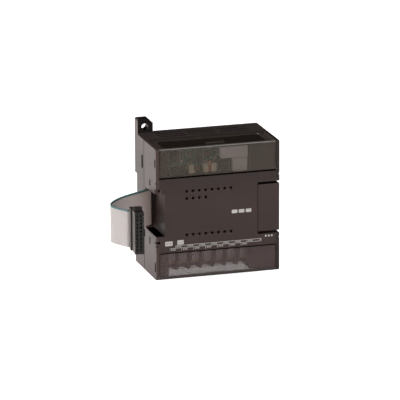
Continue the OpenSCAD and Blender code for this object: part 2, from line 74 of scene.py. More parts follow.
# ---------------------------------------------------------------- mesh helper
class Build:
    """Collects simple shapes, given in millimetres, into one mesh."""

    def __init__(self):
        self.bm = bmesh.new()

    def _faces(self, verts, faces, m, smooth=False):
        vs = [self.bm.verts.new(v) for v in verts]
        for f in faces:
            face = self.bm.faces.new([vs[i] for i in f])
            face.material_index = m
            face.smooth = smooth
        return vs

    def box(self, lo, hi, m=0, turn=None, at=None):
        x0, y0, z0 = lo
        x1, y1, z1 = hi
        v = [Vector(p) for p in ((x0, y0, z0), (x1, y0, z0), (x1, y1, z0), (x0, y1, z0),
                                 (x0, y0, z1), (x1, y0, z1), (x1, y1, z1), (x0, y1, z1))]
        if turn is not None:
            v = [turn @ p for p in v]
        if at is not None:
            v = [p + Vector(at) for p in v]
        self._faces(v, [(3, 2, 1, 0), (4, 5, 6, 7), (0, 1, 5, 4), (1, 2, 6, 5), (2, 3, 7, 6), (3, 0, 4, 7)], m)

    def lathe(self, origin, axis, profile, n=24, m=0, smooth=True):
        """profile: (distance along axis, radius) pairs; the ends are closed."""
        a = Vector(axis).normalized()
        u = a.orthogonal().normalized()
        w = a.cross(u)
        o = Vector(origin)
        verts, faces = [], []
        for d, r in profile:
            for k in range(n):
                t = 2 * math.pi * k / n
                verts.append(o + a * d + (u * math.cos(t) + w * math.sin(t)) * r)
        for i in range(len(profile) - 1):
            for k in range(n):
                k2 = (k + 1) % n
                faces.append((i * n + k, i * n + k2, (i + 1) * n + k2, (i + 1) * n + k))
        first = tuple(reversed(range(n)))
        last = tuple(range((len(profile) - 1) * n, len(profile) * n))
        vs = self._faces(verts, faces, m, smooth)
        for f in (first, last):
            face = self.bm.faces.new([vs[i] for i in f])
            face.material_index = m
            face.smooth = False

    def sweep(self, rings, m=0, smooth=True, caps=True):
        """rings: equal lists of points, each ring a closed outline."""
        n = len(rings[0])
        verts = [p for r in rings for p in r]
        faces = []
        for i in range(len(rings) - 1):
            for k in range(n):
                k2 = (k + 1) % n
                faces.append((i * n + k, (i + 1) * n + k, (i + 1) * n + k2, i * n + k2))
        vs = self._faces(verts, faces, m, smooth)
        if caps:
            for ids in (list(range(n)), list(reversed(range((len(rings) - 1) * n, len(rings) * n)))):
                face = self.bm.faces.new([vs[i] for i in ids])
                face.material_index = m

    def prism(self, points, y0, y1, m=0):
        """Closed outline in (X, Z), from y0 to y1."""
        n = len(points)
        area = sum(points[i][0] * points[(i + 1) % n][1] - points[(i + 1) % n][0] * points[i][1] for i in range(n))
        pts = points if area > 0 else points[::-1]
        verts = [(x, y0, z) for x, z in pts] + [(x, y1, z) for x, z in pts]
        faces = [tuple(range(n)), tuple(reversed(range(n, 2 * n)))]
        for k in range(n):
            k2 = (k + 1) % n
            faces.append((k2, k, n + k, n + k2))
        self._faces(verts, faces, m)

    def done(self, name, mats, body, bevel=0.0, segments=2, angle=35.0, replaces=()):
        bmesh.ops.scale(self.bm, vec=(MM, MM, MM), verts=self.bm.verts)
        bmesh.ops.recalc_face_normals(self.bm, faces=self.bm.faces)
        mesh = bpy.data.meshes.new(name)
        self.bm.to_mesh(mesh)
        self.bm.free()
        obj = bpy.data.objects.new(name, mesh)
        bpy.context.scene.collection.objects.link(obj)
        for mt in mats:
            mesh.materials.append(mt)
        if bevel:
            soften(obj, bevel, segments, angle)
        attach(obj, body)
        if replaces:
            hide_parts(*replaces)
        return obj


def soften(obj, width, segments=2, angle=35.0):
    """Small radius on every sharp edge. width in millimetres."""
    weld = obj.modifiers.new("weld", "WELD")
    weld.merge_threshold = 2e-6
    b = obj.modifiers.new("edges", "BEVEL")
    b.width = width * MM
    b.segments = segments
    b.limit_method = "ANGLE"
    b.angle_limit = math.radians(angle)
    b.harden_normals = False
    b.use_clamp_overlap = True
    b.miter_outer = "MITER_ARC"
    n = obj.modifiers.new("normals", "WEIGHTED_NORMAL")
    n.keep_sharp = False
    n.weight = 80


# ---------------------------------------------------------------- materials
def tree(name):
    m = bpy.data.materials.new(name)
    m.use_nodes = True
    nt = m.node_tree
    return m, nt, nt.nodes["Principled BSDF"], nt.nodes, nt.links


def coords(nt):
    return nt.nodes.new("ShaderNodeTexCoord").outputs["Object"]


def noise(nt, vec, scale, detail=2.0, rough=0.5, stretch=None):
    if stretch:
        mp = nt.nodes.new("ShaderNodeMapping")
        mp.inputs["Scale"].default_value = stretch
        nt.links.new(vec, mp.inputs["Vector"])
        vec = mp.outputs["Vector"]
    n = nt.nodes.new("ShaderNodeTexNoise")
    n.inputs["Scale"].default_value = scale
    n.inputs["Detail"].default_value = detail
    n.inputs["Roughness"].default_value = rough
    nt.links.new(vec, n.inputs["Vector"])
    return n.outputs["Fac"]


def ramp(nt, fac, stops):
    r = nt.nodes.new("ShaderNodeValToRGB")
    e = r.color_ramp.elements
    while len(e) > len(stops):
        e.remove(e[-1])
    while len(e) < len(stops):
        e.new(0.5)
    for el, (p, c) in zip(e, stops):
        el.position = p
        el.color = (*c, 1) if len(c) == 3 else c
    nt.links.new(fac, r.inputs["Fac"])
    return r.outputs["Color"]


def rng(nt, fac, lo, hi, a=0.3, b=0.7):
    n = nt.nodes.new("ShaderNodeMapRange")
    n.inputs["From Min"].default_value = a
    n.inputs["From Max"].default_value = b
    n.inputs["To Min"].default_value = lo
    n.inputs["To Max"].default_value = hi
    nt.links.new(fac, n.inputs["Value"])
    return n.outputs["Result"]


def bump(nt, height, strength, dist, normal=None):
    b = nt.nodes.new("ShaderNodeBump")
    b.inputs["Strength"].default_value = strength
    b.inputs["Distance"].default_value = dist
    nt.links.new(height, b.inputs["Height"])
    if normal is not None:
        nt.links.new(normal, b.inputs["Normal"])
    return b.outputs["Normal"]


def mix(nt, fac, a, b):
    n = nt.nodes.new("ShaderNodeMix")
    n.data_type = "RGBA"
    for sock, val in ((n.inputs[0], fac), (n.inputs[6], a), (n.inputs[7], b)):
        if isinstance(val, (tuple, list)):
            sock.default_value = (*val, 1) if len(val) == 3 else val
        elif isinstance(val, (int, float)):
            sock.default_value = val
        else:
            nt.links.new(val, sock)
    return n.outputs[2]


def scaled(c, k):
    return tuple(min(1.0, x * k) for x in c)


def plastic(name, base, rough=(0.4, 0.55), grain=4200.0, grain_strength=0.25, vary=0.07, alpha=None, ior=1.5, fleck=None, scuff=0.0, dark_above=None, lit_side_tone=None, darker_up_painted_edges=None):
    """Moulded plastic: slow colour drift, fine grain in roughness and bump; optional painted shade and painted light by
    height, edge and facing.
    """
    m, nt, p, nn, ln = tree(name)
    v = coords(nt)
    slow = noise(nt, v, 42, 3, 0.55)
    fine = noise(nt, v, grain, 3, 0.6)
    mid = noise(nt, v, 700, 2, 0.5)
    c = ramp(nt, slow, [(0.3, scaled(base, 1 - vary)), (0.7, scaled(base, 1 + vary))])
    c = mix(nt, rng(nt, fine, 0.0, 0.25, 0.35, 0.75), c, scaled(base, 1.2))
    if fleck is not None:
        c = mix(nt, rng(nt, noise(nt, v, 2600, 1, 0.3), 0.0, 0.5, 0.62, 0.7), c, fleck)
    if scuff:
        s = noise(nt, v, 150, 4, 0.7, (1.0, 1.0, 5.0))
        c = mix(nt, rng(nt, s, 0.0, scuff, 0.6, 0.75), c, scaled(base, 1.7))
    if dark_above is not None:
        # painted shade: the two screw tabs are darkened, and made less glossy, where less light falls on them
        part = nn.new("ShaderNodeSeparateXYZ")
        ln.new(v, part.inputs["Vector"])
        away = nn.new("ShaderNodeMath")
        away.operation = "ABSOLUTE"
        ln.new(part.outputs["Z"], away.inputs[0])
        c = mix(nt, rng(nt, away.outputs["Value"], 0.0, 1.0, dark_above - 0.0006, dark_above + 0.0012), c, scaled(base, 0.2))
        turned = nn.new("ShaderNodeNewGeometry")
        facing = nn.new("ShaderNodeSeparateXYZ")
        ln.new(turned.outputs["Normal"], facing.inputs["Vector"])
        sideways = nn.new("ShaderNodeMath")
        sideways.operation = "ABSOLUTE"
        ln.new(facing.outputs["X"], sideways.inputs[0])
        gloss = nn.new("ShaderNodeMath")
        gloss.operation = "MAXIMUM"
        ln.new(rng(nt, away.outputs["Value"], 0.5, 0.12, dark_above - 0.0006, dark_above + 0.0012), gloss.inputs[0])
        ln.new(rng(nt, sideways.outputs["Value"], 0.0, 0.5, 0.5, 0.9), gloss.inputs[1])
        ln.new(gloss.outputs["Value"], p.inputs["Specular IOR Level"])
    if darker_up_painted_edges is not None:
        # the panel darkens upwards from the first height to the second, so its middle is paler than its upper edge;
        # painted highlight on the left edge of the housing, paler than both, and painted shade on the right edge
        part = nn.new("ShaderNodeSeparateXYZ")
        ln.new(v, part.inputs["Vector"])
        c = mix(nt, rng(nt, part.outputs["Z"], 0.0, 1.0, darker_up_painted_edges[0], darker_up_painted_edges[1]), c, scaled(base, darker_up_painted_edges[2]))
        c = mix(nt, rng(nt, part.outputs["X"], 1.0, 0.0, -0.0410, -0.0404), c, scaled(base, 1.3))
        c = mix(nt, rng(nt, part.outputs["X"], 0.0, 0.75, 0.0404, 0.0410), c, scaled(base, 0.3))
    if lit_side_tone is not None:
        # painted light: faces turned sideways are painted paler than the front, as the lamp from the left lights the
        # side
        face = nn.new("ShaderNodeNewGeometry")
        part = nn.new("ShaderNodeSeparateXYZ")
        ln.new(face.outputs["Normal"], part.inputs["Vector"])
        flat = nn.new("ShaderNodeMath")
        flat.operation = "ABSOLUTE"
        ln.new(part.outputs["X"], flat.inputs[0])
        tone = lit_side_tone
        if dark_above is not None:
            # painted highlight: palest on the narrow sides of the two screw tabs
            tone = mix(nt, rng(nt, away.outputs["Value"], 0.0, 1.0, dark_above - 0.012, dark_above + 0.002), lit_side_tone, scaled(lit_side_tone, 1.4))
        c = mix(nt, rng(nt, flat.outputs["Value"], 0.0, 1.0, 0.5, 0.9), c, tone)
    ln.new(c, p.inputs["Base Color"])
    ln.new(rng(nt, mid, rough[0], rough[1]), p.inputs["Roughness"])
    ln.new(bump(nt, fine, grain_strength, 0.00003), p.inputs["Normal"])
    p.inputs["IOR"].default_value = ior
    if alpha is not None:
        p.inputs["Alpha"].default_value = alpha
    return m


def metal(name, base, rough=(0.2, 0.35), brushed=None, vary=0.06, tarnish=None):
    m, nt, p, nn, ln = tree(name)
    v = coords(nt)
    slow = noise(nt, v, 160, 3, 0.6)
    c = ramp(nt, slow, [(0.3, scaled(base, 1 - vary)), (0.7, scaled(base, 1 + vary))])
    if tarnish is not None:
        c = mix(nt, rng(nt, noise(nt, v, 420, 4, 0.65), 0.0, 0.55, 0.52, 0.72), c, tarnish)
    ln.new(c, p.inputs["Base Color"])
    p.inputs["Metallic"].default_value = 1.0
    f = noise(nt, v, 1600, 3, 0.6, brushed)
    ln.new(rng(nt, f, rough[0], rough[1]), p.inputs["Roughness"])
    ln.new(bump(nt, f, 0.12, 0.00002), p.inputs["Normal"])
    return m


CASE = (0.057, 0.0408, 0.0385)
M = {}
M["case"] = plastic("case_plastic", scaled(CASE, 1.02), (0.42, 0.56), 2200, 0.12, 0.05, scuff=0.02, dark_above=0.0452, lit_side_tone=scaled(CASE, 1.04))
M["front"] = plastic("front_plastic", (0.0575, 0.0345, 0.0305), (0.40, 0.54), 2200, 0.12, 0.05, ior=1.42, scuff=0.02, darker_up_painted_edges=(0.004, 0.026, 0.62), lit_side_tone=(0.0735, 0.0545, 0.052))
M["lid"] = plastic("lid_plastic", (0.054, 0.0325, 0.029), (0.38, 0.5), 2200, 0.12, 0.05, ior=1.42, scuff=0.02)
M["black"] = plastic("black_plastic", (0.020, 0.018, 0.017), (0.32, 0.46), 3400, 0.18, 0.10)
M["black_matt"] = plastic("black_rubber", (0.004, 0.004, 0.004), (0.7, 0.85), 1500, 0.05, 0.1)
M["void"] = plastic("slot_shadow", (0.0025, 0.002, 0.002), (0.9, 1.0), 1500, 0.0, 0.1, ior=1.0)
M["block"] = plastic("terminal_plastic", (0.078, 0.060, 0.056), (0.36, 0.5), 2200, 0.12, 0.08)
M["latch"] = plastic("latch_plastic", (0.045, 0.037, 0.035), (0.34, 0.48), 3400, 0.2, 0.08)
M["chip"] = plastic("chip_resin", (0.030, 0.031, 0.030), (0.46, 0.6), 1800, 0.1, 0.1)
M["plug"] = plastic("plug_plastic", (0.013, 0.011, 0.010), (0.42, 0.54), 2200, 0.12, 0.10, ior=1.42, lit_side_tone=(0.122, 0.105, 0.100))
# painted light: the cap is a paler copy of the plug plastic, for the lamp light on the plug's left side
M["plug_cap_lit"] = plastic("plug_cap_plastic_lit", (0.023, 0.0195, 0.018), (0.42, 0.54), 2200, 0.12, 0.10, ior=1.42, lit_side_tone=(0.118, 0.102, 0.096))
M["pale"] = plastic("pale_resin", (0.86, 0.745, 0.72), (0.38, 0.5), 1600, 0.1, 0.04)
M["beige"] = plastic("beige_resin", (0.95, 0.76, 0.54), (0.3, 0.45), 1500, 0.2, 0.1, darker_up_painted_edges=(0.0335, 0.0355, 0.3))
M["orange"] = plastic("orange_resin", (0.68, 0.29, 0.14), (0.3, 0.42), 1300, 0.2, 0.12, darker_up_painted_edges=(0.0335, 0.0355, 0.2))
M["sleeve"] = plastic("sleeve_plastic", (0.03, 0.038, 0.085), (0.25, 0.35), 1800, 0.1, 0.08)
M["ink"] = plastic("printed_ink", (0.70, 0.66, 0.635), (0.5, 0.65), 3800, 0.3, 0.05)
M["ink_dim"] = plastic("printed_ink_thin", (0.56, 0.53, 0.51), (0.5, 0.65), 3800, 0.3, 0.10)
M["ink_grey"] = plastic("printed_ink_grey", (0.42, 0.39, 0.375), (0.5, 0.65), 3000, 0.2, 0.10)
M["silk"] = plastic("board_print", (0.20, 0.28, 0.20), (0.5, 0.65), 2600, 0.3, 0.08)
M["window"] = plastic("dark_window", (0.002, 0.0018, 0.0016), (0.7, 0.8), 1200, 0.05, 0.1, ior=1.15)
M["lamp"] = plastic("lamp_resin", (0.72, 0.70, 0.52), (0.15, 0.3), 1400, 0.1, 0.06)
M["steel"] = metal("plated_steel", (0.46, 0.43, 0.41), (0.3, 0.46))
M["tin"] = metal("tinned", (0.40, 0.40, 0.37), (0.34, 0.5), tarnish=(0.26, 0.25, 0.23))
M["brass"] = metal("contact_metal", (0.46, 0.36, 0.21), (0.3, 0.46), tarnish=(0.26, 0.20, 0.13))


def smoked(name, lo, hi, alpha):
    """Clear smoked plastic: polished, with faint flow lines and dust."""
    m, nt, p, nn, ln = tree(name)
    v = coords(nt)
    slow = noise(nt, v, 30, 2, 0.5)
    c = ramp(nt, slow, [(0.3, lo), (0.7, hi)])
    dust = noise(nt, v, 620, 3, 0.6)
    c = mix(nt, rng(nt, dust, 0.0, 0.03, 0.55, 0.76), c, (0.17, 0.15, 0.14))
    ln.new(c, p.inputs["Base Color"])
    ln.new(rng(nt, noise(nt, v, 220, 3, 0.6), 0.09, 0.2), p.inputs["Roughness"])
    ln.new(bump(nt, noise(nt, v, 55, 2, 0.4), 0.05, 0.0003), p.inputs["Normal"])
    p.inputs["IOR"].default_value = 1.5
    p.inputs["Alpha"].default_value = alpha
    return m


M["smoked"] = smoked("smoked_plastic", (0.120, 0.097, 0.079), (0.132, 0.107, 0.088), 0.38)
# painted light: the lower cover is a paler, pinker copy of the smoked plastic, for the light it gathers from the pale
# floor below
M["smoked_lit_low"] = smoked("smoked_plastic_low_lit", (0.160, 0.111, 0.108), (0.176, 0.124, 0.120), 0.40)


def board():
    """Green solder mask over laminate, with buried copper lines showing as a lighter green."""
    m, nt, p, nn, ln = tree("circuit_board")
    v = coords(nt)
    base = ramp(nt, noise(nt, v, 60, 3, 0.6), [(0.3, (0.030, 0.150, 0.080)), (0.7, (0.042, 0.185, 0.098))])
    mp = nn.new("ShaderNodeMapping")
    mp.inputs["Scale"].default_value = (1, 0.0, 1)
    ln.new(v, mp.inputs["Vector"])
    weave = nn.new("ShaderNodeTexVoronoi")
    weave.distance = "CHEBYCHEV"
    weave.feature = "F1"
    weave.inputs["Scale"].default_value = 300
    ln.new(mp.outputs["Vector"], weave.inputs["Vector"])
    lines = rng(nt, weave.outputs["Distance"], 1.0, 0.0, 0.30, 0.34)
    c = mix(nt, 0.12, base, (0.07, 0.26, 0.14))
    c = mix(nt, lines, base, c)
    ln.new(c, p.inputs["Base Color"])
    ln.new(rng(nt, noise(nt, v, 500, 2, 0.5), 0.22, 0.34), p.inputs["Roughness"])
    ln.new(bump(nt, lines, 0.1, 0.00002), p.inputs["Normal"])
    return m


M["board"] = board()
M["copper"] = plastic("masked_copper", (0.050, 0.215, 0.105), (0.22, 0.34), 2400, 0.1, 0.08)


def ribbon_mat(name, base, vary):
    """Soft insulation: satin, a little see-through, finely drawn along the cores."""
    m, nt, p, nn, ln = tree(name)
    v = coords(nt)
    slow = noise(nt, v, 55, 3, 0.55)
    drawn = noise(nt, v, 900, 3, 0.6, (0.25, 0.25, 3.0))
    c = ramp(nt, slow, [(0.3, scaled(base, 1 - vary)), (0.7, scaled(base, 1 + vary))])
    c = mix(nt, rng(nt, drawn, 0.0, 0.25, 0.4, 0.7), c, scaled(base, 1.1))
    # painted light: the part by the housing is painted paler than the bent part, to brighten its shaded inner side
    part = nn.new("ShaderNodeSeparateXYZ")
    ln.new(v, part.inputs["Vector"])
    c = mix(nt, rng(nt, part.outputs["X"], 0.0, 1.0, -0.070, -0.044), c, scaled(base, 1.5))
    ln.new(c, p.inputs["Base Color"])
    ln.new(rng(nt, drawn, 0.42, 0.56), p.inputs["Roughness"])
    ln.new(bump(nt, drawn, 0.05, 0.00002), p.inputs["Normal"])
    p.inputs["Subsurface Weight"].default_value = 1.0
    p.inputs["Subsurface Radius"].default_value = (1.0, 0.9, 0.85)
    p.inputs["Subsurface Scale"].default_value = 0.002
    return m


M["ribbon"] = ribbon_mat("ribbon_grey", (0.395, 0.363, 0.354), 0.03)
M["edge"] = ribbon_mat("ribbon_edge", (0.050, 0.128, 0.130), 0.05)

# ---------------------------------------------------------------- flat cable
PLUG_AT, PLUG_TURN, FOLD_R = (-65.5, -88.0), math.radians(-6), 2.05


def at_plug(x, y):
    c, t = math.cos(PLUG_TURN), math.sin(PLUG_TURN)
    return (PLUG_AT[0] + x * c - y * t, PLUG_AT[1] + x * t + y * c)


ROUTE = [(-39.2, -20.5), (-39.2, -22), (-39.2, -23.6), (-39.5, -25.1), (-40.4, -26.4), (-42, -27.4), (-44.6, -28.8),
         (-48.6, -31.3), (-53.4, -34.2), (-58.3, -37.2), (-63.2, -40.6), (-68, -44.8), (-72, -49.4), (-74.6, -53.2),
         (-76, -56.6), (-76.4, -60), (-75.4, -63.4), (-73.8, -66.7), (-72, -69.9), (-70.6, -72.1)]
ROUTE += [at_plug(x, y) for x, y in [(-5.4, 13.95), (-4.1, 13.55), (-2, 13.525), (0, 13.525)]
          + [(2 + FOLD_R * math.cos(math.radians(a)), 11.475 + FOLD_R * math.sin(math.radians(a))) for a in (90, 45, 0, -45, -90)]
          + [(0, 9.425), (-2.8, 9.425)]]
CORES, PITCH, THICK = 20, 1.27, 0.9


def spline(pts, n):
    out = []
    for i in range(len(pts) - 1):
        a, b = Vector(pts[max(i - 1, 0)]), Vector(pts[i])
        c, d = Vector(pts[i + 1]), Vector(pts[min(i + 2, len(pts) - 1)])
        for k in range(n):
            t = k / n
            out.append(0.5 * (2 * b + (c - a) * t + (2 * a - 5 * b + 4 * c - d) * t * t + (3 * b - a - 3 * c + d) * t ** 3))
    out.append(Vector(pts[-1]))
    return out


LINE = spline(ROUTE, 4)


def across(i):
    a, b = LINE[max(i - 1, 0)], LINE[min(i + 1, len(LINE) - 1)]
    w = (b - a).normalized()
    return Vector((-w.y, w.x))


def core_outline(z_mid, left_web, right_web):
    """Half outline of one core: (offset across, z) on the +side, going up."""
    r = THICK / 2
    ang = [-66, -44, -22, 0, 22, 44, 66]
    return [(r * (0.78 + 0.22 * math.cos(math.radians(t))), z_mid + 0.6 * math.sin(math.radians(t))) for t in ang]


def ribbon_piece(name, first, last, mat, replaced):
    z0 = -CORES * PITCH / 2
    side = []
    for k in range(first, last):
        side += core_outline(z0 + (k + 0.5) * PITCH, True, True)
    lo_z, hi_z = z0 + first * PITCH, z0 + last * PITCH
    lo_r, hi_r = (0.37, 0.37)
    plus = [(lo_r * (0.5 if first == 0 else 1), lo_z + (0.06 if first == 0 else 0.0))] + side
    plus += [(hi_r * (0.5 if last == CORES else 1), hi_z - (0.06 if last == CORES else 0.0))]
    outline = plus + [(-o, z) for o, z in reversed(plus)]
    rings = []
    for i, p in enumerate(LINE):
        nrm = across(i)
        rings.append([Vector((p.x + nrm.x * o, p.y + nrm.y * o, z)) for o, z in outline])
    b = Build()
    b.sweep(rings)
    return b.done(name, [mat], "housing", replaces=(replaced,))


ribbon = ribbon_piece("ribbon", 0, CORES - 1, M["ribbon"], "ribbon_cable")
edge = ribbon_piece("ribbon_edge", CORES - 1, CORES, M["edge"], "ribbon_edge_core")

# ---------------------------------------------------------------- carried-over nodes
LOOK = {
    "rear_case": ("case", 0.25), "front_case": ("front", 0.22), "top_cover": ("smoked", 0.2),
    "bottom_cover": ("smoked_lit_low", 0.2), "exp_cover": ("lid", 0.3), "din_latch": ("latch", 0.2),
    "main_board": ("board", 0.08), "front_board": ("board", 0.08), "light_guides": ("window", 0.15),
    "status_leds": ("lamp", 0.12), "terminal_block": ("block", 0.15), "terminal_screws": ("steel", 0.12),
    "terminal_washers": ("steel", 0.12), "terminal_clamps": ("brass", 0.06), "exp_header": ("black", 0.12),
    "exp_header_pins": ("brass", 0.08), "board_link": ("black", 0.12), "board_link_pins": ("brass", 0.06),
    "converter_modules": ("pale", 0.35), "film_capacitors": ("beige", 0.5), "orange_capacitors": ("orange", 0.4),
    "electrolytic_capacitors": ("sleeve", 0.4), "ic_chips": ("chip", 0.15), "board_screws": ("steel", 0.12),
    "ribbon_socket": ("black", 0.12), "plug_body": ("plug", 0.16), "plug_cover": ("plug_cap_lit", 0.3),
    "plug_clamp": ("plug", 0.3), "plug_contacts": ("brass", 0.0),
}
for name, (key, width) in LOOK.items():
    o = nodes[name]
    o.data.materials.clear()
    o.data.materials.append(M[key])
    for poly in o.data.polygons:
        poly.material_index = 0
    if width:
        soften(o, width, 3 if width > 0.3 else 2)

# ---------------------------------------------------------------- painted highlight and painted shade along the corners of the smoked covers
CORNER_R = 1.4


def pane_edge(name, up, body, x0, x1, a0, a1, mat, rise=0.0):
    """Strip along the rounded front corner of a cover: a painted highlight on the upper cover, painted shade on the
    lower.
    """
    cy, cz = -50 + CORNER_R, 45 - CORNER_R
    ring = []
    for rad, ts in ((CORNER_R + 0.03, [a0 + (a1 - a0) * k / 6 for k in range(7)]), (CORNER_R - 0.07, (a1 - 3, a0 + 3))):
        arc = [(cy + rad * math.cos(math.radians(t)), up * (cz + rad * math.sin(math.radians(t)))) for t in ts]
        if rise:
            arc.insert(0 if rad < CORNER_R else len(arc), (cy - rad, up * (cz - rise)))
        ring += arc
    b = Build()
    b.sweep([[Vector((x, y, z)) for y, z in ring] for x in (x0, x0 + 0.4, x1 - 0.4, x1)], smooth=True)
    return b.done(name, [M[mat]], body)


M["corner"] = plastic("corner_painted_highlight", (0.145, 0.130, 0.118), (0.16, 0.26), 2000, 0.05, 0.08)
M["corner_low"] = plastic("corner_painted_shade", (0.060, 0.046, 0.044), (0.45, 0.55), 2000, 0.05, 0.08, ior=1.3)
pane_edge("upper_pane_highlight", 1, "upper_lid", -40.56, 40.56, 100, 152, "corner")
pane_edge("lower_pane_shade", -1, "lower_lid", -40.56, 40.56, 95, 178, "corner_low", 1.1)

# painted shade: a dark sheet on the floor of the upper cover's recess, standing in for the shade on the cover's top
insert = Build()
pts = []
for cx, cy, a in ((35.1 - 1.8, -28.0 - 1.8, 0), (-36.7 + 1.8, -28.0 - 1.8, 90), (-36.7 + 1.8, -47.4 + 1.8, 180), (35.1 - 1.8, -47.4 + 1.8, 270)):
    pts += [(cx + 1.8 * math.cos(math.radians(a + 15 * k)), cy + 1.8 * math.sin(math.radians(a + 15 * k))) for k in range(7)]
insert.sweep([[Vector((x, y, 44.29)) for x, y in pts], [Vector((x, y, 44.36)) for x, y in pts]], smooth=False)
M["insert"] = plastic("recess_painted_shade", (0.0125, 0.0066, 0.0034), (0.38, 0.5), 1500, 0.08, 0.12, ior=1.36)
insert.done("upper_recess_shade", [M["insert"]], "upper_lid", bevel=0.02, segments=1)

# painted shade: black strips just behind the gaps under the upper cover and above the lower cover
gap_shade = Build()
for x0, x1, z0, z1 in ((-40.6, 40.6, 24.28, 25.35), (-40.6, 40.6, -27.25, -26.38)):
    gap_shade.box((x0, -49.55, z0), (x1, -48.9, z1))
gap_shade.done("gap_shadow_strips", [M["void"]], "housing")

# painted shade: black plates just inside the slots and snap windows of the side walls, where the inside lies in shade
shade_plates = Build()
for side in (-1, 1):
    for y0, y1, z0, z1 in ((-36.9, -34.4, 17.0, 21.3), (-48.8, -46.4, 32.2, 37.9), (-36.0, -33.5, -23.5, -18.7),
                           (-48.7, -46.3, -39.7, -33.3), (-19.1, -15.7, 24.6, 33.6), (-19.1, -15.7, -33.6, -24.6)):
        shade_plates.box((min(side * 42.85, side * 42.3), y0 + 0.03, z0 + 0.03), (max(side * 42.85, side * 42.3), y1 - 0.03, z1 - 0.03))
# painted shade: black plates in the vent slots of the top and bottom
for y in (-8.0, -12.5, -17.0):
    for x0, x1 in ((-31.0, -11.5), (-9.5, 10.0), (12.0, 33.0)):
        for z0, z1 in ((44.5, 44.85), (-44.85, -44.5)):
            shade_plates.box((x0 + 0.03, y - 0.77, z0), (x1 - 0.03, y + 0.77, z1))
# shadow over the lid of the expansion connector
shade_plates.box((28.1, -49.7, 15.7), (40.9, -49.0, 17.15))
# shadow on the floor of the cable notch and in the gaps beside the covers
shade_plates.box((-42.5, -49.3, -15.0), (-37.05, -24.9, -14.96))
for side in (-1, 1):
    for z0, z1 in ((-44.8, -27.4), (25.5, 44.7)):
        shade_plates.box((min(side * 40.64, side * 40.97), -49.75, z0), (max(side * 40.64, side * 40.97), -49.0, z1))
shade_plates.done("slot_shadow_plates", [M["void"]], "housing")

# ---------------------------------------------------------------- printed marks on the front
FRONT = -50.0


def round_outline(x0, z0, x1, z1, r, n=4):
    pts = []
    for cx, cz, a in ((x1 - r, z1 - r, 0), (x0 + r, z1 - r, 90), (x0 + r, z0 + r, 180), (x1 - r, z0 + r, 270)):
        for k in range(n + 1):
            t = math.radians(a + 90 * k / n)
            pts.append((cx + r * math.cos(t), cz + r * math.sin(t)))
    return pts


def strip(b, a, c, w, y=FRONT, m=0, t=0.02):
    """Flat printed line from a to c in (X, Z)."""
    a, c = Vector(a), Vector(c)
    d = (c - a).normalized()
    n = Vector((-d.y, d.x)) * (w / 2)
    e = d * (w / 2)
    b.prism([tuple(a - e + n), tuple(a - e - n), tuple(c + e - n), tuple(c + e + n)], y - t, y, m)


white = Build()
white.prism(round_outline(-36.9, -21.7, -31.7, -18.6, 0.35), FRONT - 0.02, FRONT)
white.prism(round_outline(-28.4, -21.3, -24.0, -18.3, 0.35), FRONT - 0.02, FRONT)
# plain mark on the right of the panel: three bars of equal length
for x0, x1 in ((9.6, 13.5), (14.5, 18.4), (19.4, 23.3)):
    white.prism(round_outline(x0, -2.8, x1, -0.4, 0.5), FRONT - 0.02, FRONT)
for x in (32.9, 35.0, 37.1):
    white.prism(round_outline(x, -21.0, x + 1.2, -19.8, 0.25), FRONT - 0.02, FRONT)
white.done("front_marks", [M["ink"]], "housing")

legend = Build()
# two dark bars inside each white field
for x0, x1, z in ((-36.2, -34.6, -20.1), (-34.1, -32.4, -20.1), (-27.7, -26.4, -19.8), (-25.9, -24.7, -19.8)):
    legend.prism(round_outline(x0, z - 0.45, x1, z + 0.45, 0.15), FRONT - 0.04, FRONT - 0.019)
legend.done("field_bars", [M["ink_grey"]], "housing")

lines = Build()
# stepped outline of the terminal map: upper and lower places take turns
cell, lo_x = 8.3, -33.7
upper, mid_z, lower = -21.9, -23.6, -25.5
x = lo_x
strip(lines, (x, lower), (x, mid_z), 0.34)
for i in range(8):
    x0 = lo_x + i * cell
    x1 = min(x0 + cell, 30.2)
    strip(lines, (x0, mid_z), (x1, mid_z), 0.34)
    if i < 7:
        strip(lines, (x0 + cell * 0.5, mid_z), (x0 + cell * 0.5, upper), 0.3)
        strip(lines, (x0, lower), (x0, mid_z), 0.3)
    # blank bars where the terminal tags sit
    for j in range(3):
        xa = x0 + 0.9 + j * 1.15
        if xa + 0.8 < x1 and i < 7:
            lines.prism(round_outline(xa, -25.1, xa + 0.75, -24.2, 0.12), FRONT - 0.02, FRONT)
    for j in range(3):
        xa = x0 + cell * 0.5 + 0.7 + j * 1.15
        if xa + 0.8 < 30.7:
            lines.prism(round_outline(xa, -23.1, xa + 0.75, -22.2, 0.12), FRONT - 0.02, FRONT)
strip(lines, (lo_x + cell * 0.5, upper), (30.2, upper), 0.34)
strip(lines, (30.2, upper), (30.2, mid_z), 0.22)
lines.done("terminal_map", [M["ink_dim"]], "housing")

# ---------------------------------------------------------------- parts on the front board
BY = -40.0
rnd = random.Random(7)

legs = Build()


